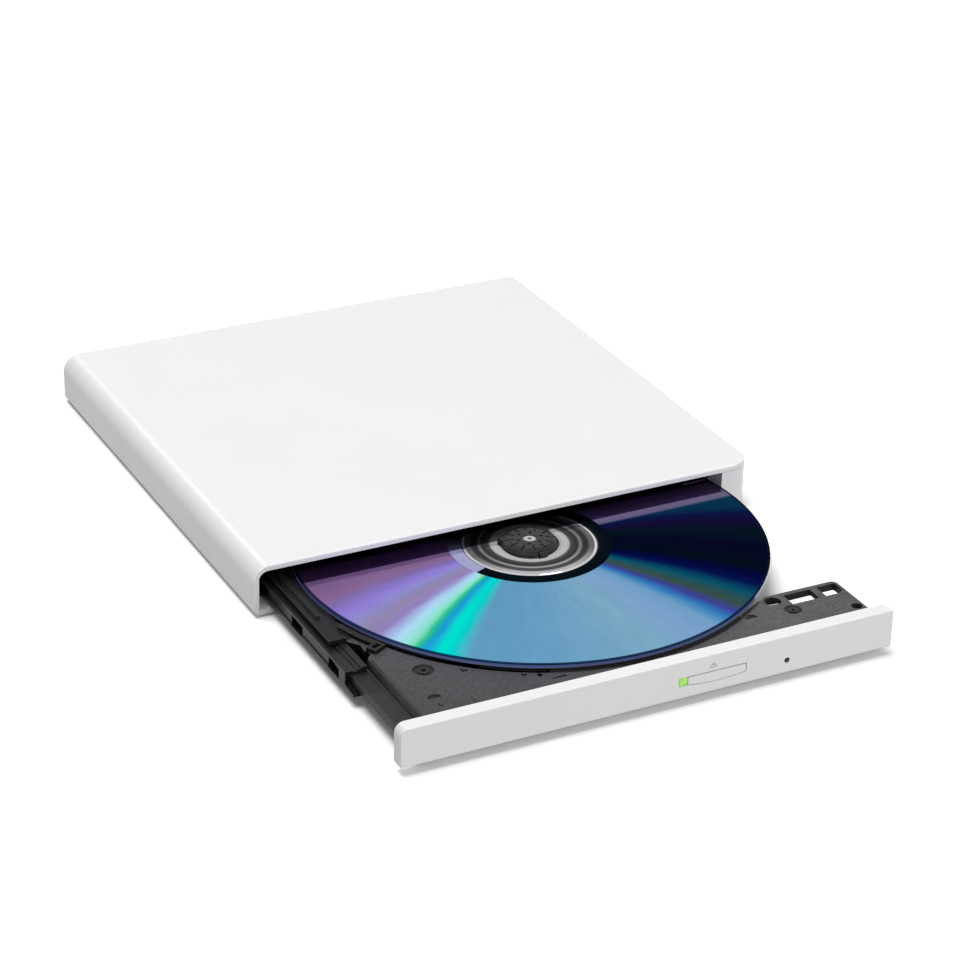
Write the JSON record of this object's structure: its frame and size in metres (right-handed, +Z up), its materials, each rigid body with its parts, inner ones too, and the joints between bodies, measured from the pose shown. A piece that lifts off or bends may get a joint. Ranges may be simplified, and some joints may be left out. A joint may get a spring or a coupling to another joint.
{
  "type": "external dvd drive",
  "caption": "Slim white external disc drive standing flat, its tray slid part way out on side rails with a disc on the hub, an eject button and a light in the bezel.",
  "frame": {"origin": "on the table under the middle of the whole object as it stands, tray out", "axes": "+X to the right seen from the front, +Y from the tray to the back, +Z up"},
  "size_m": [0.141, 0.2176, 0.014],
  "materials": {
    "white_gloss": "gloss white moulding",
    "white_button": "gloss white moulding, a shade darker",
    "rubber": "matt grey rubber",
    "screw_steel": "plated steel",
    "sheet_steel": "zinc-plated sheet",
    "dark_sheet": "dark coated sheet",
    "black_plastic": "matt black moulding",
    "tray_grey": "grained dark grey moulding",
    "steel": "polished steel",
    "spring_steel": "bright spring wire",
    "board_green": "solder mask over glass-fibre board",
    "chip_black": "moulded chip packages",
    "connector_ivory": "natural nylon",
    "ribbon_film": "amber film",
    "light_green": "clear green light guide",
    "led_body": "white lamp body",
    "copper_coil": "enamelled copper winding",
    "pickup_metal": "die-cast metal",
    "lens_glass": "coated clear lens",
    "disc_mirror": "recording side under clear plastic"
  },
  "bodies": {
    "case": {"top_cover": "white_gloss", "bottom_cover": "white_gloss", "rubber_feet": "rubber", "case_screws": "screw_steel", "chassis": "sheet_steel", "drive_lid": "dark_sheet", "lid_screws": "screw_steel", "left_guide": "black_plastic", "right_guide": "black_plastic", "latch_post": "steel", "eject_spring": "spring_steel", "main_board": "board_green", "board_chips": "chip_black", "board_screws": "screw_steel", "ribbon_connector": "connector_ivory", "flex_ribbon": "ribbon_film", "usb_socket": "steel"},
    "left_rail": {"left_rail": "black_plastic"},
    "right_rail": {"right_rail": "black_plastic"},
    "tray": {"tray": "tray_grey", "front_bezel": "white_gloss", "light_pipe": "light_green", "status_led": "led_body", "front_board": "board_green", "eject_switch": "black_plastic", "under_cover": "sheet_steel", "under_cover_screws": "screw_steel", "unit_frame": "sheet_steel", "unit_dampers": "rubber", "damper_screws": "screw_steel", "unit_cover": "dark_sheet", "stator": "copper_coil", "guide_rods": "steel", "rod_holders": "black_plastic", "sled_motor": "screw_steel", "latch_pin": "steel", "latch_spring": "spring_steel", "solenoid": "copper_coil"},
    "button": {"eject_button": "white_button", "switch_plunger": "connector_ivory"},
    "spindle": {"rotor": "steel", "turntable_pad": "rubber", "hub_cap": "black_plastic", "disc": "disc_mirror"},
    "claw_1": {"hub_claw_1": "black_plastic"},
    "claw_2": {"hub_claw_2": "black_plastic"},
    "claw_3": {"hub_claw_3": "black_plastic"},
    "pickup": {"pickup": "pickup_metal", "lead_nut": "connector_ivory"},
    "lens_unit": {"lens_holder": "black_plastic", "lens": "lens_glass"},
    "lead_screw": {"lead_screw": "steel"},
    "latch": {"latch_lever": "connector_ivory"},
    "plunger": {"solenoid_plunger": "steel"}
  },
  "joints": [
    {"name": "tray_slide", "type": "slide", "parent": "case", "child": "tray", "axis": [0, -1, 0], "range_m": [-0.08, 0.045], "deforming": ["flex_ribbon", "eject_spring"]},
    {"name": "left_rail_slide", "type": "slide", "parent": "case", "child": "left_rail", "axis": [0, -1, 0], "range_m": [-0.0545, 0.0307]},
    {"name": "right_rail_slide", "type": "slide", "parent": "case", "child": "right_rail", "axis": [0, -1, 0], "range_m": [-0.0545, 0.0307]},
    {"name": "eject_button_press", "type": "slide", "parent": "tray", "child": "button", "axis": [0, 1, 0], "range_m": [0, 0.0005], "stiffness_N_per_m": 1500},
    {"name": "spindle_spin", "type": "hinge", "parent": "tray", "child": "spindle", "pos_m": [0, -0.03775, 0], "axis": [0, 0, 1], "continuous": true},
    {"name": "hub_claw_1_press", "type": "slide", "parent": "spindle", "child": "claw_1", "axis": [-0.866, -0.5, 0], "range_m": [0, 0.0007], "stiffness_N_per_m": 300},
    {"name": "hub_claw_2_press", "type": "slide", "parent": "spindle", "child": "claw_2", "axis": [0.866, -0.5, 0], "range_m": [0, 0.0007], "stiffness_N_per_m": 300},
    {"name": "hub_claw_3_press", "type": "slide", "parent": "spindle", "child": "claw_3", "axis": [0, 1, 0], "range_m": [0, 0.0007], "stiffness_N_per_m": 300},
    {"name": "pickup_slide", "type": "slide", "parent": "tray", "child": "pickup", "axis": [-0.7071, -0.7071, 0], "range_m": [-0.008, 0.0234]},
    {"name": "lead_screw_spin", "type": "hinge", "parent": "tray", "child": "lead_screw", "pos_m": [0.0053, -0.0572, 0.00515], "axis": [-0.7071, -0.7071, 0], "continuous": true},
    {"name": "lens_focus", "type": "slide", "parent": "pickup", "child": "lens_unit", "axis": [0, 0, 1], "range_m": [-0.00025, 0.00025], "stiffness_N_per_m": 40},
    {"name": "latch_swing", "type": "hinge", "parent": "tray", "child": "latch", "pos_m": [0.044, -0.10075, 0.0053], "axis": [0, 0, 1], "range_deg": [0, 15.5]},
    {"name": "plunger_slide", "type": "slide", "parent": "tray", "child": "plunger", "axis": [0, 1, 0], "range_m": [0, 0.00168], "stiffness_N_per_m": 12}
  ],
  "couplings": [
    {"joint": "left_rail_slide", "follows": "tray_slide", "ratio": 0.68},
    {"joint": "right_rail_slide", "follows": "tray_slide", "ratio": 0.68},
    {"joint": "hub_claw_2_press", "follows": "hub_claw_1_press", "ratio": 1},
    {"joint": "hub_claw_3_press", "follows": "hub_claw_1_press", "ratio": 1},
    {"joint": "lead_screw_spin", "follows": "pickup_slide", "rad_per_m": -2094.4},
    {"joint": "latch_swing", "follows": "plunger_slide", "rad_per_m": 156.25}
  ]
}
